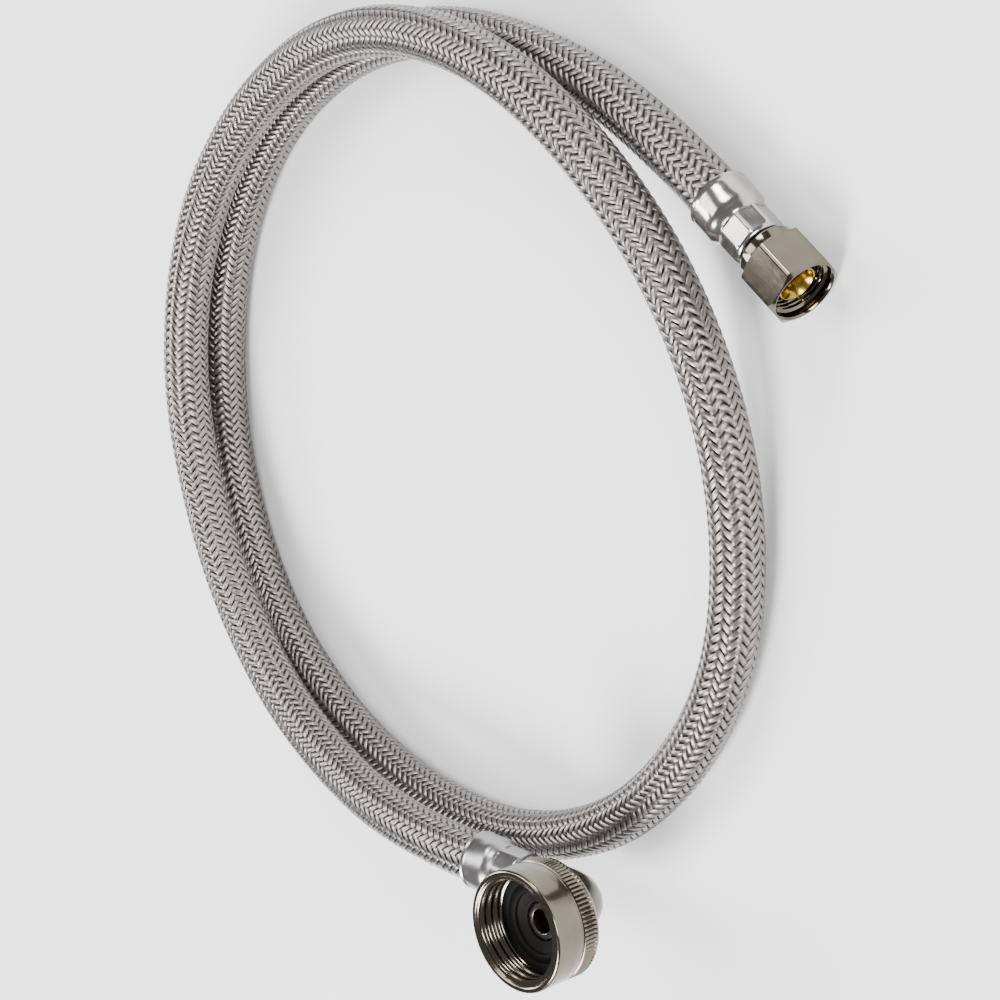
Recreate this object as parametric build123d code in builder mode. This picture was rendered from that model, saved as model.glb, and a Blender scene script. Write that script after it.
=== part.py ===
"""Braided supply line: a coiled hose with a compression nut and an elbowed garden hose nut.

Millimetres, +Z up. The coil lies on the plane Z = 0. The compression nut points along +X, and the
origin is midway between the two end fittings, on the surface that the coil lies on.
"""

import os
from math import cos, radians, tan

from build123d import *

os.makedirs("parts", exist_ok=True)

# Hose: three layers, from the wire sleeve in to the tube
hose_radius = 6.5
braid_wall = 0.9
yarn_wall = 0.5
tube_wall = 1.0
layer_gap = 0.1

# What the crimp leaves of each layer
squeezed_braid_wall = 0.7
squeezed_yarn_wall = 0.3

# Route of the hose from the compression ferrule round to the elbow ferrule.
# The lower turn lies on the surface, the upper turn lies on the lower one.
hose_route = [
    (-41.0, 92.5, 9.3),
    (-67.0, 92.5, 9.3),
    (-107.0, 83.0, 6.8),
    (-148.0, 64.0, 6.5),
    (-181.0, 33.0, 6.5),
    (-202.0, -10.0, 6.5),
    (-202.0, -59.0, 6.5),
    (-178.0, -103.0, 6.5),
    (-136.0, -130.0, 6.5),
    (-88.0, -133.0, 6.5),
    (-44.0, -119.0, 6.5),
    (-7.0, -92.0, 6.5),
    (18.0, -51.0, 6.5),
    (22.0, -1.0, 6.5),
    (-1.0, 43.0, 8.5),
    (-38.0, 75.0, 16.5),
    (-86.0, 85.0, 21.8),
    (-132.0, 74.0, 20.7),
    (-170.0, 48.0, 20.1),
    (-195.0, 8.0, 20.0),
    (-204.0, -39.0, 20.0),
    (-189.0, -86.0, 20.0),
    (-151.0, -118.0, 20.2),
    (-111.0, -131.0, 20.4),
    (-74.0, -128.0, 21.6),
    (-34.0, -110.4, 26.0),
    (-9.5, -95.1, 23.0),
]
run_share = 0.45

# Crimp ferrules, the same at both ends
ferrule_length = 17.5
ferrule_band_length = 7.5
ferrule_step_length = 2.0
ferrule_band_wall = 0.9
ferrule_band_gap = 0.25
crimp_step = 1.15
crimp_wall = 0.65
ferrule_end_wall = 0.8
ferrule_end_lip = 0.75

# Barbed tails, the same on the stem and on the elbow's insert
tail_gap = 0.05
barb_height = 0.25
barb_count = 4
barb_land = 1.9
tail_start = 2.0
tail_wall = 1.25
neck_gap = 0.1

# Compression nut, 3/8 in tube size with a 9/16-24 thread
nut_across_flats = 15.875
nut_hex_length = 11.6
nut_neck_length = 3.2
nut_neck_wall = 1.6
nut_thread_radius = 6.6
nut_mouth_step = 0.6
nut_mouth_length = 2.0
nut_rim_flare = 0.3
nut_rim_length = 0.4
nut_hex_turn = 22.0
nut_chamfer_angle = 30.0
nut_corner_flat = 0.3
nut_wall_length = 3.0
nut_back_gap = 0.6
nut_play = 1.2

# Stem nose inside the compression nut
stem_flange_gap = 0.4
stem_flange_length = 1.5
nose_shoulder = 0.3
nose_length = 5.6
nose_taper = 1.3
nose_rim_wall = 0.5
nose_mouth_length = 3.5

# Slip rings that the two nuts turn on
swivel_gap = 0.3
seat_gap = 0.05
slip_ring_width = 1.0
slip_ring_length = 0.6

# Elbow
elbow_radius = 6.5
elbow_leg_length = 39.0
elbow_bend_gap = 0.5
elbow_socket_depth = 7.0
elbow_socket_wall = 1.95
collar_lip = 1.0
collar_length = 1.8
elbow_neck_length = 2.9
face_gap = 0.1
elbow_bore_radius = 3.0

# Spud: the flanged tailpiece that keeps the hose nut on the elbow
spud_socket_wall = 0.95
spud_depth = 2.7
spud_flange_gap = 2.85
spud_flange_length = 1.0
spud_nipple_wall = 1.6
spud_nipple_length = 1.3

# Hose nut, 3/4 in garden hose thread
hose_nut_wall = 2.9
hose_nut_length = 14.5
hose_nut_wall_length = 1.8
hose_nut_thread_radius = 12.35
hose_nut_lead_flare = 1.25
hose_nut_lead_length = 1.0
hose_nut_relief_depth = 0.55
hose_nut_back_gap = 0.6
hose_nut_play = 0.8
hose_nut_band_length = 8.0
hose_nut_groove_depth = 0.35
hose_nut_groove_length = 0.7
hose_nut_back_chamfer = 1.4

# Rubber washer, held in the relief behind the hose nut's thread
washer_gap = 0.15
washer_length = 2.5
washer_bore_gap = 0.4
washer_step_radius = 7.9
washer_step_depth = 1.0

# Radii of the layers, worked out from the walls
braid_bore_radius = hose_radius - braid_wall
yarn_radius = braid_bore_radius - layer_gap
yarn_bore_radius = yarn_radius - yarn_wall
tube_radius = yarn_bore_radius - layer_gap
tube_bore_radius = tube_radius - tube_wall
ferrule_band_bore = hose_radius + ferrule_band_gap
ferrule_band_radius = ferrule_band_bore + ferrule_band_wall
crimp_radius = ferrule_band_radius - crimp_step
crimp_bore_radius = crimp_radius - crimp_wall
neck_bore_radius = crimp_bore_radius - ferrule_end_lip
neck_radius = neck_bore_radius - neck_gap
squeezed_braid_radius = crimp_bore_radius - layer_gap
squeezed_braid_bore = squeezed_braid_radius - squeezed_braid_wall
squeezed_yarn_radius = squeezed_braid_bore - layer_gap
squeezed_yarn_bore = squeezed_yarn_radius - squeezed_yarn_wall
squeezed_tube_radius = squeezed_yarn_bore - layer_gap
tail_radius = tube_bore_radius - tail_gap
water_bore_radius = tail_radius - tail_wall

# Radii of the compression end, worked out from the nut's thread
slip_ring_radius = nut_thread_radius - swivel_gap
nut_bore_radius = slip_ring_radius - slip_ring_width
nut_neck_radius = nut_bore_radius + nut_neck_wall
nut_stem_radius = nut_bore_radius - swivel_gap
nut_mouth_radius = nut_thread_radius + nut_mouth_step
nut_rim_radius = nut_mouth_radius + nut_rim_flare
stem_flange_radius = nut_thread_radius - stem_flange_gap
nose_base_radius = stem_flange_radius - nose_shoulder
nose_tip_radius = nose_base_radius - nose_taper
nose_mouth_radius = nose_tip_radius - nose_rim_wall

# Radii of the elbow end, worked out from the elbow and from the hose nut's thread
elbow_bend_radius = elbow_radius + elbow_bend_gap
elbow_neck_height = elbow_bend_radius + elbow_neck_length
elbow_socket_radius = elbow_radius - elbow_socket_wall
insert_radius = elbow_socket_radius - seat_gap
collar_radius = neck_radius + collar_lip
spud_socket_radius = elbow_radius - spud_socket_wall
spud_radius = spud_socket_radius - seat_gap
spud_flange_radius = hose_nut_thread_radius - spud_flange_gap
spud_nipple_radius = elbow_bore_radius + spud_nipple_wall
hose_nut_radius = hose_nut_thread_radius + hose_nut_wall
hose_nut_lead_radius = hose_nut_thread_radius + hose_nut_lead_flare
hose_nut_relief_radius = hose_nut_thread_radius + hose_nut_relief_depth
hose_nut_bore_radius = spud_radius + swivel_gap
hose_nut_ring_radius = spud_flange_radius - swivel_gap
washer_bore_radius = spud_nipple_radius + washer_bore_gap
washer_radius = hose_nut_relief_radius - washer_gap

# Stations along each fitting's axis, from the lip of its ferrule outwards
step_end = ferrule_band_length + ferrule_step_length
hose_end = ferrule_length - ferrule_end_wall - layer_gap
neck_start = hose_end + layer_gap
barb_pitch = (neck_start - barb_land - tail_start) / barb_count
nut_back = ferrule_length + nut_back_gap
nut_shoulder = nut_back + nut_wall_length
nut_front = nut_back + nut_neck_length + nut_hex_length
stem_flange_back = nut_shoulder + slip_ring_length + 2 * seat_gap + nut_play
stem_flange_front = stem_flange_back + stem_flange_length
nose_tip = stem_flange_front + nose_length
collar_back = ferrule_length + nut_back_gap
collar_front = collar_back + collar_length
elbow_back = collar_front + face_gap
insert_front = elbow_back + elbow_socket_depth

# Stations up the hose nut's axis, from the elbow's corner
hose_nut_back = elbow_neck_height + hose_nut_back_gap
hose_nut_shoulder = hose_nut_back + hose_nut_wall_length
hose_nut_front = hose_nut_back + hose_nut_length
spud_flange_back = hose_nut_shoulder + slip_ring_length + 2 * seat_gap + hose_nut_play
spud_flange_front = spud_flange_back + spud_flange_length
spud_back = elbow_neck_height - spud_depth
washer_back = spud_flange_front + face_gap
washer_front = washer_back + washer_length
relief_front = washer_front + face_gap

# Each fitting's plane: local X runs out along its axis, local Y is radial
route_start = Vector(*hose_route[0])
route_end = Vector(*hose_route[-1])
compression_axis = (route_start - Vector(*hose_route[1])).normalized()
leg_axis = (route_end - Vector(*hose_route[-2])).normalized()
leg_side = Vector(0, 0, 1).cross(leg_axis).normalized()
nut_axis = leg_axis.cross(leg_side).normalized()
elbow_corner = route_end + leg_axis * elbow_leg_length
compression_plane = Plane(origin=route_start, x_dir=compression_axis, z_dir=(0, -1, 0))
leg_plane = Plane(origin=route_end, x_dir=leg_axis, z_dir=leg_axis.cross(nut_axis))
nut_plane = Plane(origin=elbow_corner, x_dir=nut_axis, z_dir=leg_side)


def turned(plane, points, mode=Mode.ADD):
    """Turn an outline of (along, radius) points about the plane's X axis."""
    with BuildSketch(plane) as profile:
        with BuildLine():
            Polyline(*points, close=True)
        make_face()
    revolve(profile.sketch, axis=Axis(plane.origin, plane.x_dir), mode=mode)


def corner_radii(points):
    """Radius of the tangent arc at each corner of the route."""
    corners = [Vector(*point) for point in points]
    radii = []
    for before, corner, after in zip(corners, corners[1:], corners[2:]):
        run_in = corner - before
        run_out = after - corner
        turn = radians(run_in.get_angle(run_out))
        radii.append(run_share * min(run_in.length, run_out.length) / tan(turn / 2))
    return radii


def hose_layer(name, outer, bore, squeezed_outer, squeezed_bore):
    """One layer of the hose, with its two crimped ends."""
    with BuildPart() as layer:
        with BuildLine() as centre_line:
            FilletPolyline(*hose_route, radius=corner_radii(hose_route))
        with BuildSketch(Plane(origin=route_start, z_dir=-compression_axis)):
            Circle(outer)
            Circle(bore, mode=Mode.SUBTRACT)
        sweep(path=centre_line.wire())
        end_outline = [
            (0, bore),
            (0, outer),
            (ferrule_band_length, outer),
            (step_end, squeezed_outer),
            (hose_end, squeezed_outer),
            (hose_end, squeezed_bore),
            (step_end, squeezed_bore),
            (ferrule_band_length, bore),
        ]
        turned(compression_plane, end_outline)
        turned(leg_plane, end_outline)
    layer.part.label = name
    export_step(layer.part, f"parts/{name}.step")
    return centre_line.wire().length


def ferrule(name, plane):
    """Crimp ferrule: a wide band over the braid, a step, and a crimped section."""
    with BuildPart() as sleeve:
        turned(plane, [
            (0, ferrule_band_bore),
            (0, ferrule_band_radius),
            (ferrule_band_length, ferrule_band_radius),
            (step_end, crimp_radius),
            (ferrule_length, crimp_radius),
            (ferrule_length, neck_bore_radius),
            (ferrule_length - ferrule_end_wall, neck_bore_radius),
            (ferrule_length - ferrule_end_wall, crimp_bore_radius),
            (step_end, crimp_bore_radius),
            (ferrule_band_length, ferrule_band_bore),
        ])
    sleeve.part.label = name
    export_step(sleeve.part, f"parts/{name}.step")


def barbed_outline():
    """Outline of a barbed tail, from its tip to the neck."""
    points = [(tail_start, water_bore_radius), (tail_start, tail_radius)]
    for barb in range(barb_count):
        crest = tail_start + (barb + 1) * barb_pitch
        points.append((crest, tail_radius + barb_height))
        points.append((crest, tail_radius))
    return points + [(neck_start, tail_radius)]


def compression_stem():
    """Brass stem: barbed tail, neck, the flange that keeps the nut, and the sealing cone."""
    with BuildPart() as stem:
        turned(compression_plane, barbed_outline() + [
            (neck_start, neck_radius),
            (ferrule_length, neck_radius),
            (nut_back, nut_stem_radius),
            (stem_flange_back, nut_stem_radius),
            (stem_flange_back, stem_flange_radius),
            (stem_flange_front, stem_flange_radius),
            (stem_flange_front, nose_base_radius),
            (nose_tip, nose_tip_radius),
            (nose_tip, nose_mouth_radius),
            (nose_tip - nose_mouth_length, water_bore_radius),
        ])
    stem.part.label = "compression_stem"
    export_step(stem.part, "parts/compression_stem.step")


def slip_ring(name, plane, shoulder, bore, radius):
    """Thin ring between a nut's inner shoulder and the flange that it pulls on."""
    back = shoulder + seat_gap
    with BuildPart() as ring:
        turned(plane, [
            (back, bore),
            (back, radius),
            (back + slip_ring_length, radius),
            (back + slip_ring_length, bore),
        ])
    ring.part.label = name
    export_step(ring.part, f"parts/{name}.step")


def compression_nut():
    """Hex nut with a round neck, bored at the thread's minor radius."""
    hex_back = nut_back + nut_neck_length
    flat_radius = nut_across_flats / 2
    corner_radius = flat_radius / cos(radians(30))
    chamfer_length = (corner_radius + nut_corner_flat - flat_radius) * tan(radians(nut_chamfer_angle))
    with BuildPart() as nut:
        hex_plane = Plane(
            origin=compression_plane.from_local_coords(Vector(hex_back, 0, 0)),
            x_dir=compression_plane.y_dir,
            z_dir=compression_axis,
        )
        with BuildSketch(hex_plane):
            RegularPolygon(flat_radius, 6, major_radius=False, rotation=nut_hex_turn)
        extrude(amount=nut_hex_length)
        for face, inward in ((hex_back, 1), (nut_front, -1)):
            turned(compression_plane, [
                (face, flat_radius),
                (face, corner_radius + nut_corner_flat),
                (face + inward * chamfer_length, corner_radius + nut_corner_flat),
            ], mode=Mode.SUBTRACT)
        turned(compression_plane, [
            (nut_back, 0),
            (nut_back, nut_neck_radius),
            (hex_back, nut_neck_radius),
            (hex_back, 0),
        ])
        turned(compression_plane, [
            (nut_back, 0),
            (nut_back, nut_bore_radius),
            (nut_shoulder, nut_bore_radius),
            (nut_shoulder, nut_thread_radius),
            (nut_front - nut_mouth_length, nut_thread_radius),
            (nut_front - nut_mouth_length, nut_mouth_radius),
            (nut_front - nut_rim_length, nut_mouth_radius),
            (nut_front, nut_rim_radius),
            (nut_front, 0),
        ], mode=Mode.SUBTRACT)
    nut.part.label = "compression_nut"
    export_step(nut.part, "parts/compression_nut.step")


def elbow_insert():
    """Brass insert: barbed tail, collar, and the spigot brazed into the elbow."""
    with BuildPart() as insert:
        turned(leg_plane, barbed_outline() + [
            (neck_start, neck_radius),
            (collar_back, neck_radius),
            (collar_back, collar_radius),
            (collar_front, collar_radius),
            (collar_front, insert_radius),
            (insert_front - face_gap, insert_radius),
            (insert_front - face_gap, water_bore_radius),
        ])
    insert.part.label = "elbow_insert"
    export_step(insert.part, "parts/elbow_insert.step")


def elbow_body():
    """Cast elbow: a leg along the hose, a swept bend and a short neck up to the nut."""
    leg_start = leg_plane.from_local_coords(Vector(elbow_back, 0, 0))
    neck_top = elbow_corner + nut_axis * elbow_neck_height
    bore_end = elbow_corner + nut_axis * (spud_back - face_gap)
    bore_start = leg_plane.from_local_coords(Vector(insert_front, 0, 0))
    with BuildPart() as elbow:
        with BuildLine() as centre_line:
            FilletPolyline(leg_start, elbow_corner, neck_top, radius=elbow_bend_radius)
        with BuildSketch(Plane(origin=leg_start, z_dir=leg_axis)):
            Circle(elbow_radius)
        sweep(path=centre_line.wire())
        with BuildLine() as bore_line:
            FilletPolyline(bore_start, elbow_corner, bore_end, radius=elbow_bend_radius)
        with BuildSketch(Plane(origin=bore_start, z_dir=leg_axis)):
            Circle(elbow_bore_radius)
        sweep(path=bore_line.wire(), mode=Mode.SUBTRACT)
        turned(leg_plane, [
            (elbow_back, 0),
            (elbow_back, elbow_socket_radius),
            (insert_front, elbow_socket_radius),
            (insert_front, 0),
        ], mode=Mode.SUBTRACT)
        turned(nut_plane, [
            (spud_back - face_gap, 0),
            (spud_back - face_gap, spud_socket_radius),
            (elbow_neck_height, spud_socket_radius),
            (elbow_neck_height, 0),
        ], mode=Mode.SUBTRACT)
    elbow.part.label = "elbow_body"
    export_step(elbow.part, "parts/elbow_body.step")


def elbow_spud():
    """Flanged tailpiece brazed into the elbow's neck, with a raised ring round its bore."""
    with BuildPart() as spud:
        turned(nut_plane, [
            (spud_back, elbow_bore_radius),
            (spud_back, spud_radius),
            (spud_flange_back, spud_radius),
            (spud_flange_back, spud_flange_radius),
            (spud_flange_front, spud_flange_radius),
            (spud_flange_front, spud_nipple_radius),
            (spud_flange_front + spud_nipple_length, spud_nipple_radius),
            (spud_flange_front + spud_nipple_length, elbow_bore_radius),
        ])
    spud.part.label = "elbow_spud"
    export_step(spud.part, "parts/elbow_spud.step")


def hose_nut():
    """Swivel nut for a garden hose thread, bored at the thread's minor radius."""
    band_back = hose_nut_front - hose_nut_band_length
    groove_radius = hose_nut_radius - hose_nut_groove_depth
    with BuildPart() as nut:
        turned(nut_plane, [
            (hose_nut_back, hose_nut_bore_radius),
            (hose_nut_back, hose_nut_radius - hose_nut_back_chamfer),
            (hose_nut_back + hose_nut_back_chamfer, hose_nut_radius),
            (band_back - hose_nut_groove_length, hose_nut_radius),
            (band_back - hose_nut_groove_length, groove_radius),
            (band_back, groove_radius),
            (band_back, hose_nut_radius),
            (hose_nut_front, hose_nut_radius),
            (hose_nut_front, hose_nut_lead_radius),
            (hose_nut_front - hose_nut_lead_length, hose_nut_thread_radius),
            (relief_front, hose_nut_thread_radius),
            (relief_front, hose_nut_relief_radius),
            (hose_nut_shoulder, hose_nut_relief_radius),
            (hose_nut_shoulder, hose_nut_bore_radius),
        ])
    nut.part.label = "hose_nut"
    export_step(nut.part, "parts/hose_nut.step")


def hose_washer():
    """Rubber washer with a stepped hole, held behind the nut's thread."""
    step = washer_front - washer_step_depth
    with BuildPart() as washer:
        turned(nut_plane, [
            (washer_back, washer_bore_radius),
            (washer_back, washer_radius),
            (washer_front, washer_radius),
            (washer_front, washer_step_radius),
            (step, washer_step_radius),
            (step, washer_bore_radius),
        ])
    washer.part.label = "hose_washer"
    export_step(washer.part, "parts/hose_washer.step")


hose_length = hose_layer(
    "hose_braid", hose_radius, braid_bore_radius, squeezed_braid_radius, squeezed_braid_bore
)
hose_layer("yarn_sleeve", yarn_radius, yarn_bore_radius, squeezed_yarn_radius, squeezed_yarn_bore)
hose_layer("inner_tube", tube_radius, tube_bore_radius, squeezed_tube_radius, tube_bore_radius)
ferrule("compression_ferrule", compression_plane)
compression_stem()
slip_ring("compression_slip_ring", compression_plane, nut_shoulder, nut_bore_radius, slip_ring_radius)
compression_nut()
ferrule("elbow_ferrule", leg_plane)
elbow_insert()
elbow_body()
elbow_spud()
slip_ring("hose_nut_slip_ring", nut_plane, hose_nut_shoulder, hose_nut_bore_radius, hose_nut_ring_radius)
hose_nut()
hose_washer()

print("hose length, mm:", round(hose_length, 1))
print("smallest bend radius, mm:", round(min(corner_radii(hose_route)), 1))
print("elbow corner:", elbow_corner, "nut axis:", nut_axis)
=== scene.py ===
from math import atan, cos, pi, radians, sin, tan, tau

import bmesh
import bpy
import numpy as np
from mathutils import Matrix, Vector, noise


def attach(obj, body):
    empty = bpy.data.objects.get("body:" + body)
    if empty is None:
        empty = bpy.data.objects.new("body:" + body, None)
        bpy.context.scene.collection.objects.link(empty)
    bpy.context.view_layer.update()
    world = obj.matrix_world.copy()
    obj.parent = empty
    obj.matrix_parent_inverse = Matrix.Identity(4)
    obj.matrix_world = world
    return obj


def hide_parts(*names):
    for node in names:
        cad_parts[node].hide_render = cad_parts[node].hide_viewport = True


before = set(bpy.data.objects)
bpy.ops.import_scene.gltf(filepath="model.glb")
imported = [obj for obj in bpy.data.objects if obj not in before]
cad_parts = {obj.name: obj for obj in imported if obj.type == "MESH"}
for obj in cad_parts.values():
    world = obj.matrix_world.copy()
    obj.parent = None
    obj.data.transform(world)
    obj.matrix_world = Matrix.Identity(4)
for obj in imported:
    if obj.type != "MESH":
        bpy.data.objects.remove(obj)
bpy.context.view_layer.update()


class Wire:  # a shader socket that takes Python's operators
    def __init__(self, tree, out=None):
        self.tree, self.out = tree, out

    def node(self, kind, settings=None, values=None, outlet=0):
        made = self.tree.nodes.new(kind)
        for name, setting in (settings or {}).items():
            if name == "stops":  # a ramp's (place, colour) stops
                elements = made.color_ramp.elements
                elements[0].position, elements[-1].position = setting[0][0], setting[-1][0]
                for place, colour in setting[1:-1]:
                    elements.new(place)
                for element, (place, colour) in zip(elements, setting):
                    element.color = (*colour, 1.0)
            else:
                setattr(made, name, setting)
        for name, value in (values or {}).items():
            if isinstance(value, Wire):
                self.tree.links.new(value.out, made.inputs[name])
            elif isinstance(value, tuple) and made.inputs[name].type == "RGBA":
                made.inputs[name].default_value = (*value, 1.0)
            else:
                made.inputs[name].default_value = value
        return Wire(self.tree, made.outputs[outlet] if made.outputs else None)

    def maths(self, operation, first, second=0.0):
        return self.node("ShaderNodeMath", {"operation": operation}, {0: first, 1: second})

    def __add__(self, other):
        return self.maths("ADD", self, other)

    def __sub__(self, other):
        return self.maths("SUBTRACT", self, other)

    def __rsub__(self, other):
        return self.maths("SUBTRACT", other, self)

    def __mul__(self, other):
        return self.maths("MULTIPLY", self, other)

    def __pow__(self, other):
        return self.maths("POWER", self, other)

    __radd__ = __add__
    __rmul__ = __mul__

    def clamp(self):
        return self.node("ShaderNodeClamp", None, {0: self})

    def blend(self, low, high):  # colours, low where this value is 0
        return self.node("ShaderNodeMix", {"data_type": "RGBA"}, {0: self, 6: low, 7: high}, 2)

    def noise(self, where, scale, detail=3.0, roughness=0.55):
        return self.node("ShaderNodeTexNoise", None,
                         {"Vector": where, "Scale": scale, "Detail": detail, "Roughness": roughness})


def newFinish(name):
    material = bpy.data.materials.new(name)
    material.use_nodes = True
    tree = material.node_tree
    tree.nodes.clear()
    return material, Wire(tree)


def surface(wire, values, bump=None, strength=0.3, distance=0.0001):
    if bump is not None:
        values = dict(values)
        values["Normal"] = wire.node("ShaderNodeBump", None,
                                     {"Height": bump, "Strength": strength, "Distance": distance})
    shader = wire.node("ShaderNodeBsdfPrincipled", None, values)
    wire.node("ShaderNodeOutputMaterial", None, {"Surface": shader})


viewCamera = {
    "place": (0.275237, 0.380034, 0.388499),
    "target": (-0.073098, -0.032007, 0.0),
    "roll": -101.24,  # the coil is seen from its side, turned upright
    "lens": 92.41,
}


def placeCamera(look):
    lens = bpy.data.cameras.new("viewCamera")
    lens.lens, lens.sensor_width = look["lens"], 36.0
    lens.clip_start, lens.clip_end = 0.01, 20.0
    camera = bpy.data.objects.new("viewCamera", lens)
    bpy.context.collection.objects.link(camera)
    away = Vector(look["target"]) - Vector(look["place"])
    turn = away.to_track_quat("-Z", "Y").to_matrix().to_4x4() @ Matrix.Rotation(radians(look["roll"]), 4, "Z")
    camera.matrix_world = Matrix.Translation(look["place"]) @ turn
    bpy.context.scene.camera = camera


placeCamera(viewCamera)
print("camera placed")

wireLook = {
    "light": (0.335, 0.316, 0.308),
    "dark": (0.115, 0.105, 0.093),
    # painted shade: near-black colour used where a bundle dives under the crossing bundles
    "paintedGapShade": (0.018, 0.014, 0.009),
    "roughness": 0.26,
    "wiresAcross": 12.5,
}


def wireFinish(look):
    material, wire = newFinish("braidWire")
    place = wire.node("ShaderNodeUVMap", {"uv_map": "strip"})
    across = wire.node("ShaderNodeSeparateXYZ", None, {0: place}, 1)
    ridges = wire.maths("ABSOLUTE", wire.maths("SINE", across * (pi * look["wiresAcross"])))
    blotch = wire.noise(place, 0.35, 2.0)  # from one float to the next
    streak = wire.noise(wire.node("ShaderNodeMapping", None, {"Vector": place, "Scale": (0.25, 60.0, 1.0)}), 1.0, 2.0)
    lift = wire.node("ShaderNodeAttribute", {"attribute_name": "lift"}, outlet="Fac")  # 1 on top, 0 where it dives: painted shade where the bundle dives under its neighbours and along its edges
    # blotch and streak are random tone; the ridges term darkens the grooves between the wires as painted shade
    shade = (0.75 * blotch + 0.35 * streak + 0.25 * ridges - 0.1).clamp()
    surface(wire, {
        "Base Color": lift.blend(look["paintedGapShade"], shade.blend(look["dark"], look["light"])),
        "Metallic": 1.0,
        "Roughness": look["roughness"] + 0.18 * blotch - 0.06 * ridges,
    }, ridges, 0.35, 0.00005)
    return material


linerLook = {"light": (0.16, 0.145, 0.125), "dark": (0.035, 0.03, 0.025)}


def linerFinish(look):
    material, wire = newFinish("linerYarn")
    place = wire.node("ShaderNodeTexCoord", outlet="Object")
    fuzz = wire.noise(place, 900.0, 4.0, 0.7)
    surface(wire, {"Base Color": fuzz.blend(look["dark"], look["light"]), "Roughness": 0.85}, fuzz, 0.5, 0.0002)
    return material


metalLooks = {
    "ferruleSteel": {"light": (0.46, 0.44, 0.43), "dark": (0.27, 0.257, 0.25), "roughness": 0.17, "spread": 0.16,
                     "grain": 180.0, "marks": 0.25},
    "softFerrule": {"light": (0.325, 0.314, 0.313), "dark": (0.22, 0.212, 0.211), "roughness": 0.30, "spread": 0.16,
                    "grain": 220.0, "marks": 0.30},
    "nutNickel": {"light": (0.140, 0.122, 0.098), "dark": (0.093, 0.080, 0.062), "roughness": 0.10, "spread": 0.10,
                  "grain": 140.0, "marks": 0.08},
    "hoseNutNickel": {"light": (0.158, 0.138, 0.112), "dark": (0.102, 0.087, 0.069), "roughness": 0.16, "spread": 0.12,
                      "grain": 120.0, "marks": 0.10},
    "elbowNickel": {"light": (0.190, 0.171, 0.146), "dark": (0.118, 0.105, 0.088), "roughness": 0.20, "spread": 0.16,
                    "grain": 260.0, "marks": 0.40},
    "brass": {"light": (0.38, 0.270, 0.050), "dark": (0.19, 0.120, 0.020), "roughness": 0.20, "spread": 0.14,
              "grain": 200.0, "marks": 0.15},
}


def metalFinish(name, look):
    material, wire = newFinish(name)
    place = wire.node("ShaderNodeTexCoord", outlet="Object")
    broad = wire.noise(place, look["grain"], 3.0)  # soft waves in the plating
    fine = wire.noise(place, look["grain"] * 14.0, 4.0, 0.7)
    scratch = wire.noise(wire.node("ShaderNodeMapping", None, {"Vector": place, "Rotation": (0.4, 0.9, 0.2),
                                                                "Scale": (300.0, 300.0, 4200.0)}), 1.0, 2.0)
    wear = ((scratch - 0.62) * 6.0).clamp()
    shade = (0.2 + 0.75 * broad + 0.3 * (fine - 0.5) - 0.35 * wear).clamp()
    surface(wire, {
        "Base Color": shade.blend(look["dark"], look["light"]),
        "Metallic": 1.0,
        "Roughness": (look["roughness"] + look["spread"] * (broad - 0.5) + 0.12 * wear).clamp(),
    }, broad + 0.25 * fine, look["marks"], 0.0002)
    return material


washerLook = {"light": (0.0065, 0.0056, 0.005), "dark": (0.002, 0.0017, 0.0014)}


def washerFinish(look):
    material, wire = newFinish("washerRubber")
    place = wire.node("ShaderNodeTexCoord", outlet="Object")
    bloom = wire.noise(place, 160.0, 3.0)
    grit = wire.noise(place, 2600.0, 2.0)
    surface(wire, {"Base Color": bloom.blend(look["dark"], look["light"]), "Roughness": 0.5 + 0.2 * bloom,
                   "Specular IOR Level": 0.08}, grit, 0.2, 0.00008)
    return material


braidWire = wireFinish(wireLook)
linerYarn = linerFinish(linerLook)
washerRubber = washerFinish(washerLook)
metals = {name: metalFinish(name, look) for name, look in metalLooks.items()}
print("materials made")


def finishPiece(name, shape, material, body, replaced=(), sharp=35.0):
    if isinstance(shape, bmesh.types.BMesh):
        mesh = bpy.data.meshes.new(name)
        shape.to_mesh(mesh)
        shape.free()
    else:
        mesh = shape
    mesh.shade_smooth()
    mesh.set_sharp_from_angle(angle=radians(sharp))
    mesh.materials.append(material)
    piece = bpy.data.objects.new(name, mesh)
    bpy.context.collection.objects.link(piece)
    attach(piece, body)
    if replaced:
        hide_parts(*replaced)
    print("made", name, len(mesh.polygons), "faces")
    return piece


def axisFrame(origin, axis, side):  # local Z runs along the axis; millimetres in, metres out
    along = Vector(axis).normalized()
    first = Vector(side) - Vector(side).dot(along) * along
    first.normalize()
    second = along.cross(first)
    turn = Matrix((first, second, along)).transposed().to_4x4()
    return Matrix.Translation(Vector(origin) * 0.001) @ turn @ Matrix.Scale(0.001, 4)


def turned(outline, steps):  # outline of (station, radius) round the local Z axis
    bm = bmesh.new()
    corners = [bm.verts.new((radius, 0.0, station)) for station, radius in outline]
    sides = [bm.edges.new((a, b)) for a, b in zip(corners, corners[1:] + corners[:1])]
    bmesh.ops.spin(bm, geom=corners + sides, cent=(0, 0, 0), axis=(0, 0, 1), angle=tau, steps=steps, use_merge=True)
    bmesh.ops.remove_doubles(bm, verts=bm.verts, dist=0.0005)
    bmesh.ops.recalc_face_normals(bm, faces=bm.faces)
    return bm


def soften(bm, width, limit, segments=2, shortest=0.0):
    edges = [e for e in bm.edges if e.is_manifold and e.calc_face_angle(0.0) > radians(limit)
             and e.calc_length() > shortest]
    bmesh.ops.bevel(bm, geom=edges, offset=width, offset_type="OFFSET", segments=segments, profile=0.5,
                    affect="EDGES", clamp_overlap=True, material=-1)


def polar(vert):  # distance from the local Z axis, and the turn round it
    flat = Vector((vert.co.x, vert.co.y))
    return flat.length, Vector((1, 0)).angle_signed(flat, 0.0)


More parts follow.
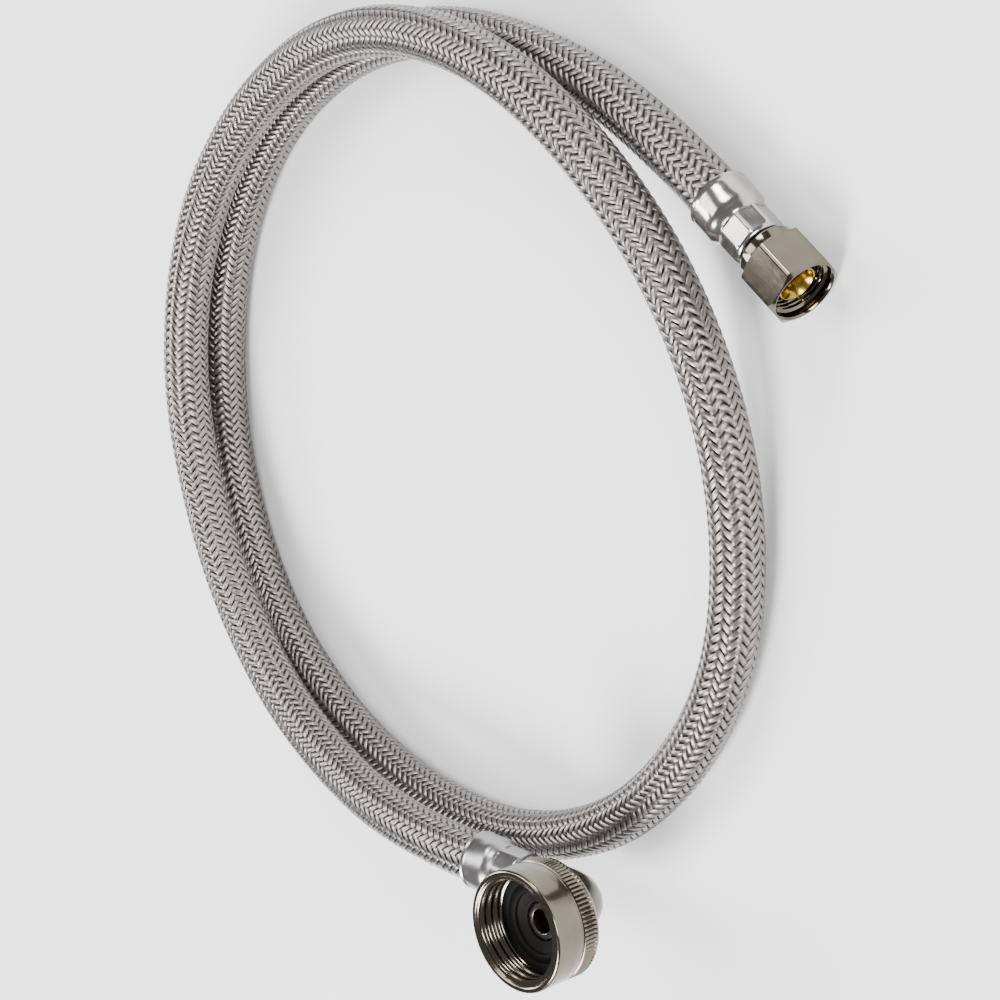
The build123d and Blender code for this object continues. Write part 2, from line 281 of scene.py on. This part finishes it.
def atRadius(vert, radius):
    flat = Vector((vert.co.x, vert.co.y, 0.0)).normalized() * radius
    vert.co.x, vert.co.y = flat.x, flat.y


def evenly(first, last, step):
    count = max(2, round(abs(last - first) / step) + 1)
    return [float(x) for x in np.linspace(first, last, count)]


# The hose's control points, from the compression ferrule round to the elbow ferrule, in metres
hoseRoute = [
    (-0.0410, 0.0925, 0.0093), (-0.0670, 0.0925, 0.0093), (-0.1070, 0.0830, 0.0068), (-0.1480, 0.0640, 0.0065),
    (-0.1810, 0.0330, 0.0065), (-0.2020, -0.0100, 0.0065), (-0.2020, -0.0590, 0.0065), (-0.1780, -0.1030, 0.0065),
    (-0.1360, -0.1300, 0.0065), (-0.0880, -0.1330, 0.0065), (-0.0440, -0.1190, 0.0065), (-0.0070, -0.0920, 0.0065),
    (0.0180, -0.0510, 0.0065), (0.0220, -0.0010, 0.0065), (-0.0010, 0.0430, 0.0085), (-0.0380, 0.0750, 0.0165),
    (-0.0860, 0.0850, 0.0218), (-0.1320, 0.0740, 0.0207), (-0.1700, 0.0480, 0.0201), (-0.1950, 0.0080, 0.0200),
    (-0.2040, -0.0390, 0.0200), (-0.1890, -0.0860, 0.0200), (-0.1510, -0.1180, 0.0202), (-0.1110, -0.1310, 0.0204),
    (-0.0740, -0.1280, 0.0216), (-0.0340, -0.1104, 0.0260), (-0.0095, -0.0951, 0.0230),
]


def routeCurve(name, points, radius, resolution):
    curve = bpy.data.curves.new(name, "CURVE")
    curve.dimensions = "3D"
    curve.resolution_u = curve.render_resolution_u = resolution
    spline = curve.splines.new("NURBS")
    spline.points.add(len(points) - 1)
    for knot, point in zip(spline.points, points):
        knot.co = (*point, 1.0)
    spline.order_u = 3
    spline.use_endpoint_u = True
    curve.bevel_depth, curve.bevel_resolution, curve.use_fill_caps = radius, 5, True
    return curve


class RouteLine:  # the route's own line with a frame that doesn't twist
    def __init__(self, points, reach):
        bare = bpy.data.objects.new("routeLine", routeCurve("routeLine", points, 0.0, 48))
        mesh = bpy.data.meshes.new_from_object(bare)
        flat = np.empty(len(mesh.vertices) * 3)
        mesh.vertices.foreach_get("co", flat)
        self.path = flat.reshape(-1, 3)
        bpy.data.objects.remove(bare)
        ends = self.path[0] - self.path[1], self.path[-1] - self.path[-2]
        first, last = (end / np.linalg.norm(end) * reach for end in ends)
        line = np.vstack([self.path[0] + first, self.path, self.path[-1] + last])
        runs = np.linalg.norm(np.diff(line, axis=0), axis=1)
        self.station = np.concatenate([[0.0], np.cumsum(runs)]) - reach
        self.length = self.station[-1] - reach
        tangent = np.gradient(line, self.station, axis=0)
        tangent /= np.linalg.norm(tangent, axis=1)[:, None]
        side = np.cross(tangent[0], (0.0, 0.0, 1.0))
        sides = []
        for t in tangent:
            side = side - side.dot(t) * t
            side = side / np.linalg.norm(side)
            sides.append(side)
        self.line, self.side = line, np.array(sides)
        self.up = np.cross(tangent, self.side)

    def at(self, stations):
        return [np.stack([np.interp(stations, self.station, column) for column in table.T], axis=1)
                for table in (self.line, self.side, self.up)]


liner = {"radius": 0.00595, "diameter": 0.013, "length": 1.166}

hoseLiner = bpy.data.objects.new("hoseLiner", routeCurve("hoseLiner", hoseRoute, liner["radius"], 16))
bpy.context.collection.objects.link(hoseLiner)
hoseLiner.data.materials.append(linerYarn)
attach(hoseLiner, "hose")
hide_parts("yarn_sleeve", "inner_tube")
route = RouteLine(hoseRoute, 0.006)
print("hose line, m:", round(route.length, 4))

braid = {
    "bundles": 16,            # each way
    "lead": 0.0396,           # one turn of a bundle
    "radius": 0.00613,        # middle of the weave
    "rise": 0.00020,          # over and under that
    "section": [(-0.00068, -0.00016), (-0.00054, 0.00008), (0.0, 0.00015), (0.00054, 0.00008), (0.00068, -0.00016)],
    "stepsPerCrossing": 3,
    "bundlesPerPiece": 4,
    "intoFerrule": 0.003,
}


def straightStrip(look, length):  # one bundle, straight: X along, Y across, Z height
    crossing = look["lead"] / (2 * look["bundles"])
    steps = round(length / crossing * look["stepsPerCrossing"])
    section = look["section"]
    bm = bmesh.new()
    layer = bm.loops.layers.uv.new("strip")
    bmesh.ops.create_grid(bm, x_segments=steps, y_segments=len(section), size=0.5)
    for face in bm.faces:
        for loop in face.loops:
            x, y, z = loop.vert.co
            loop[layer].uv = ((x + 0.5) * length * 1000.0, y + 0.5)
    for vert in bm.verts:
        across, height = section[round((vert.co.y + 0.5) * len(section)) % len(section)]
        vert.co = ((vert.co.x + 0.5) * length, across, height)
    bmesh.ops.remove_doubles(bm, verts=bm.verts, dist=0.000002)
    bmesh.ops.holes_fill(bm, edges=[e for e in bm.edges if e.is_boundary], sides=0)
    bmesh.ops.recalc_face_normals(bm, faces=bm.faces)
    mesh = bpy.data.meshes.new("straightStrip")
    bm.to_mesh(mesh)
    bm.free()
    return mesh


def braidPiece(name, strip, first, hand, look, line):
    count = look["bundlesPerPiece"]
    bm = bmesh.new()
    for bundleCopy in range(count):
        bm.from_mesh(strip)
    mesh = bpy.data.meshes.new(name)
    bm.to_mesh(mesh)
    bm.free()
    flat = np.empty(len(mesh.vertices) * 3, np.float32)
    mesh.vertices.foreach_get("co", flat)
    along, across, height = flat.reshape(-1, 3).T.astype(float)
    bundle = first + np.arange(len(along)) // (len(along) // count)
    slope = atan(tau * look["radius"] / look["lead"])
    station = along - look["intoFerrule"]
    turn = tau * (hand * station / look["lead"] + bundle / look["bundles"]) - cos(slope) * across / look["radius"]
    crossing = station / look["lead"] * 2 * look["bundles"]
    phase = (hand * crossing + 2 * bundle - 0.5) / 4  # two over, two under
    wave = np.tanh(2.4 * np.cos(tau * phase))
    radius = look["radius"] + hand * look["rise"] * wave + height
    centre, side, up = line.at(station + hand * sin(slope) * across)
    placed = centre + radius[:, None] * (np.cos(turn)[:, None] * side + np.sin(turn)[:, None] * up)
    mesh.vertices.foreach_set("co", placed.astype(np.float32).ravel())
    # painted shade: darker where the bundle dives under the crossing bundles and towards its edges
    crown = np.clip((height + 0.00016) / 0.00024, 0.0, 1.0)
    lift = np.clip(0.75 + 0.95 * hand * wave, 0.0, 1.0) * (0.25 + 0.75 * crown)
    mesh.attributes.new("lift", "FLOAT", "POINT").data.foreach_set("value", lift.astype(np.float32))
    layer = mesh.uv_layers["strip"].data
    flat = np.empty(len(layer) * 2, np.float32)
    layer.foreach_get("uv", flat)
    places = flat.reshape(-1, 2)
    places[:, 0] += 1300.0 * (first + np.arange(len(layer)) // (len(layer) // count)) + 40000.0 * (hand > 0)
    layer.foreach_set("uv", places.ravel())
    mesh.update()
    return finishPiece(name, mesh, braidWire, "hose", ("hose_braid",), sharp=80.0)


oneStrip = straightStrip(braid, route.length + 2 * braid["intoFerrule"])
braidPieces = [
    braidPiece(f"braidBundles{'Right' if hand > 0 else 'Left'}{first // braid['bundlesPerPiece'] + 1}",
               oneStrip, first, hand, braid, route)
    for hand in (1, -1) for first in range(0, braid["bundles"], braid["bundlesPerPiece"])
]
bpy.data.meshes.remove(oneStrip)

# Where the end fittings stand, in millimetres
compressionFrame = axisFrame((-41.0, 92.5, 9.3), (1, 0, 0), (0, 0, 1))
legAxis = Vector((0.843655, 0.526854, -0.103305))
nutAxis = Vector((0.087622, 0.054719, 0.994650))
elbowCorner = Vector((23.4025, -74.5527, 18.9711))
legFrame = axisFrame((-9.5, -95.1, 23.0), legAxis, nutAxis)
hoseNutFrame = axisFrame(elbowCorner, nutAxis, legAxis)

ferrule = {
    "beadRadius": 7.65,
    "bandRadius": 7.6,
    "bore": 6.75,
    "crimpRadius": 6.5,
    "crimpBore": 5.85,
    "neckBore": 5.1,
    "flats": 8,
    "flatRadius": 6.02,
    "flatHalf": 18.9,      # degrees each side of a flat's middle
    "flatStart": 10.1,
    "flatEnd": 16.1,
    "dents": 0.13,
}


def crimpFerrule(place, seed, look):
    band, crimp = look["bandRadius"], look["crimpRadius"]
    outline = [(0.0, look["bore"]), (0.0, 7.3), (0.12, 7.55), (0.38, look["beadRadius"]), (0.68, 7.52), (0.9, 7.4)]
    outline += [(1.2, band - 0.08)] + [(s, band) for s in evenly(1.8, 6.4, 0.6)] + [(7.0, band - 0.06)]
    outline += [(7.5, 7.38), (8.0, 7.08), (8.6, 6.78), (9.2, 6.6), (9.6, crimp), (9.9, crimp)]
    outline += [(s, crimp) for s in evenly(look["flatStart"], look["flatEnd"], 0.6)]
    outline += [(16.4, crimp - 0.02), (16.8, 6.38), (17.15, 6.12), (17.38, 5.75), (17.5, 5.35)]
    outline += [(17.5, look["neckBore"]), (16.7, look["neckBore"]), (16.7, look["crimpBore"])]
    outline += [(9.5, look["crimpBore"]), (7.5, look["bore"])]
    bm = turned(outline, 96)
    across = tau / look["flats"]
    for vert in bm.verts:
        around, turn = polar(vert)
        if around < look["crimpBore"] + 0.1:
            continue
        station = vert.co.z
        if look["flatStart"] - 0.05 < station < look["flatEnd"] + 0.05 and around > crimp - 0.05:
            off = (turn + seed) % across - across / 2
            if abs(off) < radians(look["flatHalf"]):
                around = min(crimp - 0.07, look["flatRadius"] / cos(off))
        if around > look["bore"] + 0.02 or station > 7.6:
            where = Vector((cos(turn) * 1.6, sin(turn) * 1.6, station * 0.24 + seed * 5.0))
            strength = look["dents"] if 1.0 < station < 7.2 else 0.035
            around += strength * (noise.noise(where * 1.3) * 0.9 - 0.35)
        atRadius(vert, around)
    bmesh.ops.transform(bm, matrix=place, verts=bm.verts)
    return bm


elbowCrimp = dict(ferrule, flatRadius=6.18, dents=0.17)  # a softer crimp
compressionFerrule = finishPiece("compressionFerrule", crimpFerrule(compressionFrame, 0.11, ferrule),
                                 metals["ferruleSteel"], "hose", ("compression_ferrule",), sharp=30.0)
elbowFerrule = finishPiece("elbowFerrule", crimpFerrule(legFrame, 0.36, elbowCrimp),
                           metals["softFerrule"], "hose", ("elbow_ferrule",), sharp=30.0)


def cutThread(bm, low, high, look, fadeIn, fadeOut, sharpness):  # ridges stay at the thread radius
    for vert in bm.verts:
        around, turn = polar(vert)
        station = vert.co.z
        if not (low - 0.01 < station < high + 0.01 and abs(around - look["threadRadius"]) < 0.02):
            continue
        valley = (0.5 - 0.5 * cos(tau * station / look["threadPitch"] - turn)) ** sharpness
        ends = min(1.0, (station - low) / fadeIn, (high - station) / fadeOut if fadeOut else 1.0)
        atRadius(vert, around + look["threadDepth"] * valley * max(0.0, ends))


compressionNut = {
    "back": 18.1,
    "neckRadius": 6.9,
    "hexBack": 21.3,
    "front": 32.9,
    "flatRadius": 7.9375,
    "faceRadius": 7.74,
    "chamferSlope": 30.0,
    "turn": 22.0,
    "cornerWidth": 0.48,
    "bore": 5.3,
    "shoulder": 21.1,
    "threadStart": 25.5,
    "threadEnd": 30.5,
    "threadRadius": 6.6,
    "threadDepth": 0.5,
    "threadPitch": 1.058,
    "mouthRadius": 7.2,
    "rimRadius": 7.5,
}


def hexNut(look):
    back, front, face = look["hexBack"], look["front"], look["faceRadius"]
    flat = look["flatRadius"]
    outline = [(look["back"], look["bore"]), (look["back"], look["neckRadius"] - 0.55),
               (look["back"] + 0.18, look["neckRadius"] - 0.18), (look["back"] + 0.55, look["neckRadius"]),
               (back - 0.5, look["neckRadius"]), (back - 0.2, look["neckRadius"] + 0.08),
               (back, look["neckRadius"] + 0.3), (back, face), (back + 0.2, flat), (front - 0.2, flat), (front, face),
               (front, look["rimRadius"] + 0.04),
               (front - 0.1, look["rimRadius"] - 0.08), (front - 0.4, look["mouthRadius"]),
               (30.95, look["mouthRadius"]), (30.7, look["threadRadius"] + 0.3)]
    outline += [(s, look["threadRadius"]) for s in evenly(look["threadEnd"], look["threadStart"], 0.13)]
    outline += [(look["shoulder"], look["threadRadius"]), (look["shoulder"], look["bore"])]
    bm = turned(outline, 144)
    cutThread(bm, look["threadStart"], look["threadEnd"], look, 0.35, 0.35, 1.5)
    for vert in bm.verts:
        around, turn = polar(vert)
        if abs(around - flat) < 0.01:
            around = flat / cos(turn % radians(60) - radians(30))
            inward = (around - face) * tan(radians(look["chamferSlope"]))
            vert.co.z = back + inward if vert.co.z < (back + front) / 2 else front - inward
            atRadius(vert, around)
    bm.normal_update()
    corners = [edge for edge in bm.edges if abs(edge.verts[0].co.z - edge.verts[1].co.z) > 5
               and edge.calc_face_angle(0.0) > 0.5 and polar(edge.verts[0])[0] > flat + 0.5]
    bmesh.ops.bevel(bm, geom=corners, offset=look["cornerWidth"], offset_type="OFFSET", segments=3, profile=0.5,
                    affect="EDGES", clamp_overlap=True, material=-1)
    bmesh.ops.rotate(bm, cent=(0, 0, 0), matrix=Matrix.Rotation(radians(look["turn"]), 3, "Z"), verts=bm.verts)
    bmesh.ops.transform(bm, matrix=compressionFrame, verts=bm.verts)
    return bm


nutPiece = finishPiece("compressionNut", hexNut(compressionNut), metals["nutNickel"], "compression_nut",
                       ("compression_nut",), sharp=22.0)

compressionStem = {"tail": 3.85, "bore": 2.6, "neck": 5.0, "flange": 6.2, "noseBase": 5.9, "noseTip": 4.6, "mouth": 4.1}


def stemShape(look):
    bm = turned([(2.0, look["bore"]), (2.0, look["tail"]), (17.6, look["tail"]),
                 (17.6, look["neck"]), (23.0, look["neck"]), (23.0, look["flange"]),
                 (24.5, look["flange"]), (24.5, look["noseBase"]), (27.3, 5.27),
                 (29.85, look["noseTip"] + 0.06), (30.05, look["noseTip"] - 0.08), (30.1, look["noseTip"] - 0.2),
                 (30.1, look["mouth"] + 0.12), (30.0, look["mouth"]), (28.3, 3.32), (26.6, look["bore"])], 96)
    soften(bm, 0.08, 50.0)
    bmesh.ops.transform(bm, matrix=compressionFrame, verts=bm.verts)
    return bm


stemPiece = finishPiece("compressionStem", stemShape(compressionStem), metals["brass"], "hose",
                        ("compression_stem",), sharp=30.0)

elbow = {
    "radius": 6.5,
    "bore": 3.0,
    "legStart": 20.0,
    "corner": 39.0,
    "bend": 7.0,
    "neckTop": 9.9,
}


def pushedOut(bm, edges, step):
    made = bmesh.ops.extrude_edge_only(bm, edges=edges)
    bmesh.ops.translate(bm, vec=step, verts=[g for g in made["geom"] if isinstance(g, bmesh.types.BMVert)])
    return [g for g in made["geom"] if isinstance(g, bmesh.types.BMEdge)]


def elbowShape(look):  # local Z along the leg, local X up the nut's axis
    bm = bmesh.new()
    for radius in (look["radius"], look["bore"]):
        bmesh.ops.create_circle(bm, cap_ends=False, radius=radius, segments=72,
                                matrix=Matrix.Translation((0, 0, look["legStart"])))
    start = rings = list(bm.edges)
    length = look["corner"] - look["bend"] - look["legStart"]
    for part in range(6):
        rings = pushedOut(bm, rings, (0, 0, length / 6))
    centre = (look["bend"], 0, look["corner"] - look["bend"])
    made = bmesh.ops.spin(bm, geom=rings, cent=centre, axis=(0, 1, 0), angle=pi / 2, steps=16, use_merge=False)
    rings = [g for g in made["geom_last"] if isinstance(g, bmesh.types.BMEdge)]
    rings = pushedOut(bm, rings, (look["neckTop"] - look["bend"], 0, 0))
    bmesh.ops.bridge_loops(bm, edges=start)
    bmesh.ops.bridge_loops(bm, edges=rings)
    bmesh.ops.recalc_face_normals(bm, faces=bm.faces)
    soften(bm, 0.5, 60.0, 3, shortest=0.3)
    for vert in bm.verts:
        if vert.co.z > look["legStart"] + 1.0:  # slight unevenness of a cast elbow
            vert.co += vert.normal * 0.05 * noise.noise(vert.co * 0.35)
    bmesh.ops.transform(bm, matrix=legFrame, verts=bm.verts)
    return bm


elbowPiece = finishPiece("elbowBody", elbowShape(elbow), metals["elbowNickel"], "hose",
                         ("elbow_body",), sharp=40.0)

spud = {"stem": 5.5, "flange": 9.5, "nipple": 4.6, "bore": 3.0}


def spudShape(look):
    bm = turned([(7.2, look["bore"]), (7.2, look["stem"]), (13.8, look["stem"]), (13.8, look["flange"]),
                 (14.8, look["flange"]), (14.8, look["nipple"]), (15.9, look["nipple"]), (16.05, look["nipple"] - 0.12),
                 (16.1, look["nipple"] - 0.35), (16.1, look["bore"] + 0.35), (16.02, look["bore"] + 0.12),
                 (15.8, look["bore"])], 96)
    soften(bm, 0.08, 50.0)
    bmesh.ops.transform(bm, matrix=hoseNutFrame, verts=bm.verts)
    return bm


spudPiece = finishPiece("elbowSpud", spudShape(spud), metals["elbowNickel"], "hose", ("elbow_spud",))

washer = {"back": 14.9, "front": 17.4, "radius": 12.75, "bore": 5.0, "step": 7.9, "depth": 1.0}


def washerShape(look):
    floor = look["front"] - look["depth"]
    bm = turned([(look["back"], look["bore"]), (look["back"], look["radius"]), (look["front"] - 0.3, look["radius"]),
                 (look["front"], look["radius"] - 0.3), (look["front"], 10.4), (look["front"] - 0.08, 10.25),
                 (look["front"] - 0.08, 10.05), (look["front"], 9.9), (look["front"], look["step"] + 0.35),
                 (look["front"] - 0.12, look["step"] + 0.1), (look["front"] - 0.4, look["step"]),
                 (floor + 0.2, look["step"] - 0.05), (floor, look["step"] - 0.3), (floor - 0.15, look["bore"] + 0.6),
                 (floor - 0.4, look["bore"])], 96)
    bmesh.ops.transform(bm, matrix=hoseNutFrame, verts=bm.verts)
    return bm


washerPiece = finishPiece("hoseWasher", washerShape(washer), washerRubber, "hose_nut",
                          ("hose_washer",))

hoseNut = {
    "back": 10.5,
    "shoulder": 12.3,
    "front": 25.0,
    "radius": 15.25,
    "knurlRadius": 15.16,
    "knurls": 84,
    "knurlDepth": 0.62,
    "knurlStart": 12.0,
    "knurlEnd": 16.2,
    "bore": 5.8,
    "relief": 12.9,
    "threadStart": 17.5,
    "threadEnd": 24.5,
    "threadRadius": 12.35,
    "threadDepth": 0.85,
    "threadPitch": 2.209,
}


def hoseNutShape(look):
    back, front, outer, knurl = look["back"], look["front"], look["radius"], look["knurlRadius"]
    outline = [(back, look["bore"]), (back, 9.0), (back, 13.3), (back + 0.1, 13.9), (back + 0.38, 14.42),
               (back + 0.8, 14.82), (back + 1.25, 15.05), (look["knurlStart"], knurl)]
    outline += [(s, knurl) for s in evenly(look["knurlStart"] + 0.35, look["knurlEnd"] - 0.35, 1.0)]
    outline += [(look["knurlEnd"], knurl), (16.35, 14.86), (16.6, 14.8), (16.85, 14.86), (16.98, 15.1), (17.2, outer)]
    outline += [(19.5, outer), (22.0, outer), (front - 0.75, outer), (front - 0.35, outer - 0.1),
                (front - 0.1, outer - 0.33), (front, outer - 0.66), (front, 14.15), (front - 0.07, 13.9),
                (front - 0.25, 13.68)]
    outline += [(look["threadEnd"], 13.4), (look["threadEnd"] - 0.05, look["threadRadius"])]
    outline += [(s, look["threadRadius"]) for s in evenly(look["threadEnd"] - 0.2, look["threadStart"] + 0.1, 0.17)]
    outline += [(look["threadStart"], look["relief"]), (look["shoulder"], look["relief"])]
    outline += [(look["shoulder"], look["bore"])]
    bm = turned(outline, look["knurls"] * 4)
    cutThread(bm, look["threadStart"] + 0.1, look["threadEnd"] - 0.05, look, 0.5, None, 1.3)
    for vert in bm.verts:
        around, turn = polar(vert)
        if abs(around - knurl) < 0.02 and look["knurlStart"] < vert.co.z < look["knurlEnd"]:
            spot = round(turn / tau * look["knurls"] * 4) % 4
            atRadius(vert, around - look["knurlDepth"] * (0.0, 0.3, 1.0, 0.3)[spot])
    bmesh.ops.recalc_face_normals(bm, faces=bm.faces)
    bmesh.ops.transform(bm, matrix=hoseNutFrame, verts=bm.verts)
    return bm


hoseNutPiece = finishPiece("hoseNut", hoseNutShape(hoseNut), metals["hoseNutNickel"], "hose_nut",
                           ("hose_nut",), sharp=38.0)

# CAD pieces that keep their shape
for nodeName, material in (("compression_slip_ring", metals["brass"]), ("hose_nut_slip_ring", metals["brass"]),
                           ("elbow_insert", metals["elbowNickel"])):
    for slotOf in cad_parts[nodeName].material_slots:
        slotOf.material = material

print("fittings made")

floorLook = {"colour": (0.86, 0.86, 0.86), "size": 4.0}


def paleFloor(look):
    material, wire = newFinish("paleFloor")
    place = wire.node("ShaderNodeTexCoord", outlet="Object")
    cloud = wire.noise(place, 3.0, 2.0)
    pale = look["colour"]
    surface(wire, {"Base Color": cloud.blend(tuple(0.985 * c for c in pale), pale), "Roughness": 0.7})
    bm = bmesh.new()
    bmesh.ops.create_grid(bm, x_segments=1, y_segments=1, size=look["size"] / 2)
    mesh = bpy.data.meshes.new("paleFloor")
    bm.to_mesh(mesh)
    bm.free()
    mesh.materials.append(material)
    floor = bpy.data.objects.new("paleFloor", mesh)
    bpy.context.collection.objects.link(floor)


lamps = [
    # name, place, aimed at, size, watts
    ("softKey", (0.55, -0.75, 1.00), (-0.08, -0.02, 0.0), 0.60, 42.0),
    ("topLight", (-0.50, 0.05, 0.86), (-0.02, 0.09, 0.0), 0.50, 7.0),
    ("cornerLight", (-0.50, 0.78, 0.52), (-0.04, 0.05, 0.0), 0.30, 9.0),
    ("hoseLight", (-0.95, -0.55, 0.80), (-0.10, -0.02, 0.0), 0.45, 14.0),
    ("sideLight", (0.85, 0.75, 0.55), (0.0, -0.05, 0.0), 0.50, 16.0),
]


def softLight():
    for name, place, aim, size, watts in lamps:
        lamp = bpy.data.lights.new(name, "AREA")
        lamp.shape, lamp.size, lamp.energy = "SQUARE", size, watts
        lampObject = bpy.data.objects.new(name, lamp)
        bpy.context.collection.objects.link(lampObject)
        lampObject.location = place
        lampObject.rotation_euler = (Vector(aim) - Vector(place)).to_track_quat("-Z", "Y").to_euler()
    world = bpy.data.worlds.new("studio")
    bpy.context.scene.world = world
    world.use_nodes = True
    sky = world.node_tree.nodes["Background"]
    sky.inputs[0].default_value = (1.0, 1.0, 1.0, 1.0)
    sky.inputs[1].default_value = 0.30


paleFloor(floorLook)
softLight()
print("floor and lights set")
